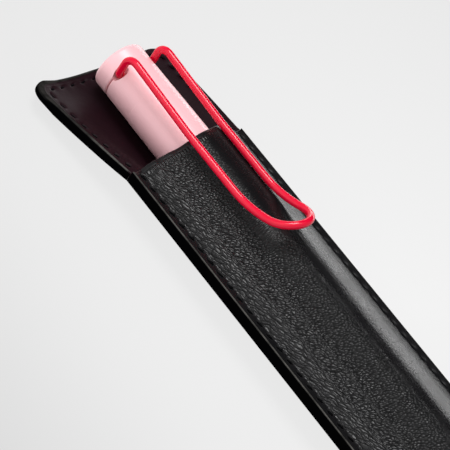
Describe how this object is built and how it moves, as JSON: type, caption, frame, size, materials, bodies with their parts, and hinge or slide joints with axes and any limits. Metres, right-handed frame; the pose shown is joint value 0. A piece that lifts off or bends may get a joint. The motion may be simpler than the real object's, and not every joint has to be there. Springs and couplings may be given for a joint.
{
  "type": "single pen sleeve",
  "caption": "Slim sewn leather pen sleeve with an open mouth and a tall tongue behind it, holding a capped pen whose wire clip grips the front panel.",
  "frame": {"origin": "on the surface that the sleeve lies on, under the middle of its box", "axes": "+Z out of the front panel, +Y along the sleeve from its bottom edge to the tip of the tongue, +X to the right seen from the front with the tongue up"},
  "size_m": [0.0392, 0.165, 0.0239],
  "materials": {
    "outer_leather": "fine pebbled grain, semi-matt",
    "lining_leather": "smooth, satin",
    "core_board": "matt bonded sheet",
    "thread": "waxed thread",
    "pen_shell": "satin gloss",
    "clip_enamel": "high gloss enamel",
    "pen_grip_plastic": "satin",
    "seal_rubber": "matt",
    "refill_tube": "translucent moulded tube",
    "tip_steel": "turned metal"
  },
  "bodies": {
    "sleeve": {"back_leather": "outer_leather", "back_core": "core_board", "back_lining": "lining_leather", "front_leather": "outer_leather", "pocket_thread": "thread", "tongue_thread": "thread", "back_thread": "thread"},
    "barrel": {"pen_barrel": "pen_shell", "pen_grip": "pen_grip_plastic", "pen_seal_ring": "seal_rubber", "pen_refill": "refill_tube", "pen_refill_tip": "tip_steel"},
    "cap": {"pen_cap": "pen_shell", "pen_cap_head": "pen_shell", "pen_cap_liner": "pen_grip_plastic"},
    "clip": {"pen_clip": "clip_enamel"}
  },
  "joints": [
    {"name": "pen_slide", "type": "slide", "parent": "sleeve", "child": "barrel", "axis": [0, 1, 0], "range_m": [0, 0.145]},
    {"name": "cap_pull", "type": "slide", "parent": "barrel", "child": "cap", "axis": [0, 1, 0], "range_m": [0, 0.05]},
    {"name": "clip_flex", "type": "hinge", "parent": "cap", "child": "clip", "pos_m": [0, 0.0743, 0.0127], "axis": [-1, 0, 0], "range_deg": [0, 5], "stiffness_Nm_per_rad": 1}
  ]
}
